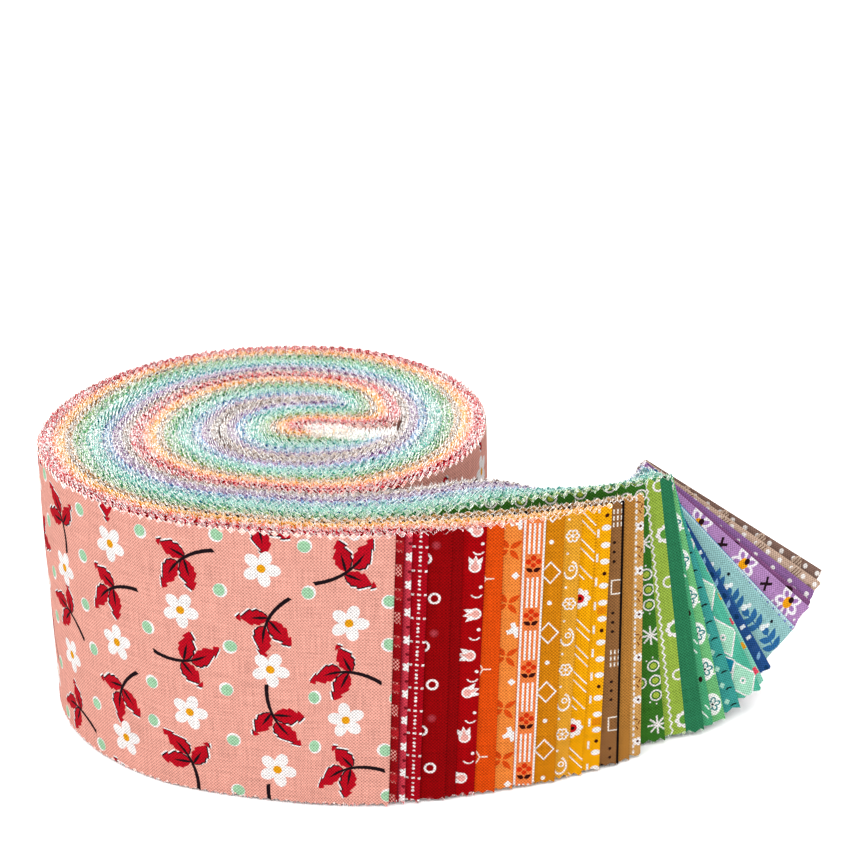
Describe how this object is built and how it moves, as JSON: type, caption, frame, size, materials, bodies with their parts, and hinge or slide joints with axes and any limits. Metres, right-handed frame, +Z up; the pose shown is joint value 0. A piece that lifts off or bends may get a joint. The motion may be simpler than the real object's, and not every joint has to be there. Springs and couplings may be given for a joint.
{
  "type": "roll of quilting fabric strips",
  "caption": "Rolled bundle of folded cotton quilting strips standing on edge, its folded ends fanned out at one side.",
  "frame": {"origin": "middle of the wound roll, on the flat base that it stands on", "axes": "+Z up, across the strips' width; +X along the loose end, away from the roll; +Y to the back"},
  "size_m": [0.1781, 0.112, 0.0635],
  "materials": {
    "coral_cotton": "matt plain-weave cotton, printed",
    "red_cotton": "matt plain-weave cotton, printed",
    "orange_cotton": "matt plain-weave cotton, printed",
    "yellow_cotton": "matt plain-weave cotton, printed",
    "brown_cotton": "matt plain-weave cotton, printed",
    "green_cotton": "matt plain-weave cotton, printed",
    "teal_cotton": "matt plain-weave cotton, printed",
    "blue_cotton": "matt plain-weave cotton, printed",
    "purple_cotton": "matt plain-weave cotton, printed",
    "taupe_cotton": "matt plain-weave cotton, printed"
  },
  "bodies": {
    "root": {"wound_strips": "coral_cotton", "leaf_crimson": "red_cotton", "leaf_dark_red": "red_cotton", "leaf_orange": "orange_cotton", "leaf_gold": "yellow_cotton", "leaf_yellow": "yellow_cotton", "leaf_brown": "brown_cotton", "leaf_dark_green": "green_cotton", "leaf_lime": "green_cotton", "leaf_green": "green_cotton", "leaf_mint": "teal_cotton", "leaf_navy": "blue_cotton", "leaf_sky": "blue_cotton", "leaf_lavender": "purple_cotton", "leaf_purple": "purple_cotton", "leaf_taupe": "taupe_cotton"}
  },
  "joints": []
}
